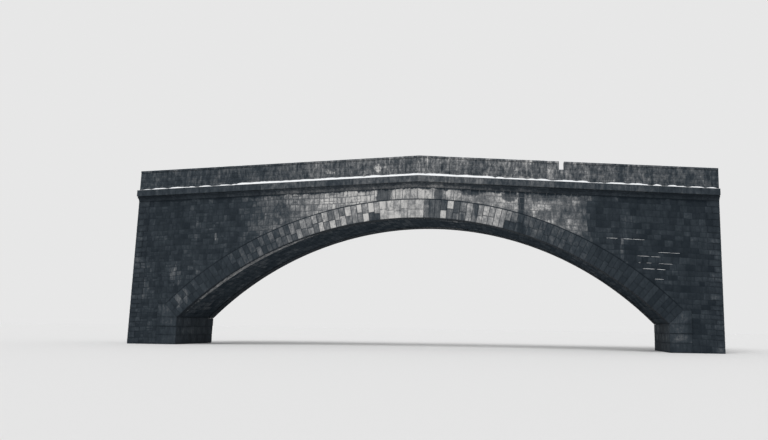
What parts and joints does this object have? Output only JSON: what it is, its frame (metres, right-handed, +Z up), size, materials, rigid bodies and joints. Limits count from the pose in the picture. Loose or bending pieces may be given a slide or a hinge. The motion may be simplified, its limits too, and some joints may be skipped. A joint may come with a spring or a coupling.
{
  "type": "stone arch bridge",
  "caption": "Low stone bridge whose one wide segmental arch carries a narrow humped lane between parapets, with a string course along both faces.",
  "frame": {"origin": "on the ground under the middle of the arch, halfway between the two faces", "axes": "+X along the lane to the right as seen from the front, +Y through the arch from the front face to the back face, +Z up"},
  "size_m": [29.3, 4.6, 9.64],
  "materials": {
    "ring_stone": "squared gritty stone, weathered and streaked",
    "barrel_stone": "coursed stone, dark and damp",
    "wall_stone": "coursed squared rubble with worn joints",
    "moulding_stone": "dressed stone, streaked dark",
    "parapet_stone": "rough coursed stone, dark",
    "coping_stone": "dressed stone, weathered",
    "rubble": "rubble hearting",
    "lane_surface": "rolled gravel"
  },
  "bodies": {
    "root": {"left_abutment": "wall_stone", "right_abutment": "wall_stone", "left_springer": "ring_stone", "right_springer": "ring_stone", "front_arch_ring": "ring_stone", "back_arch_ring": "ring_stone", "arch_barrel": "barrel_stone", "front_left_spandrel": "wall_stone", "front_right_spandrel": "wall_stone", "back_left_spandrel": "wall_stone", "back_right_spandrel": "wall_stone", "front_left_wing_wall": "wall_stone", "front_right_wing_wall": "wall_stone", "back_left_wing_wall": "wall_stone", "back_right_wing_wall": "wall_stone", "left_rubble_core": "rubble", "right_rubble_core": "rubble", "left_lane": "lane_surface", "right_lane": "lane_surface", "front_left_bed_mould": "moulding_stone", "front_right_bed_mould": "moulding_stone", "back_left_bed_mould": "moulding_stone", "back_right_bed_mould": "moulding_stone", "front_left_string_course": "ring_stone", "front_right_string_course": "ring_stone", "back_left_string_course": "ring_stone", "back_right_string_course": "ring_stone", "front_left_parapet": "parapet_stone", "front_middle_parapet": "parapet_stone", "front_right_parapet": "parapet_stone", "back_left_parapet": "parapet_stone", "back_middle_parapet": "parapet_stone", "back_right_parapet": "parapet_stone", "front_left_coping": "coping_stone", "front_middle_coping": "coping_stone", "front_right_coping": "coping_stone", "back_left_coping": "coping_stone", "back_middle_coping": "coping_stone", "back_right_coping": "coping_stone"}
  },
  "joints": []
}
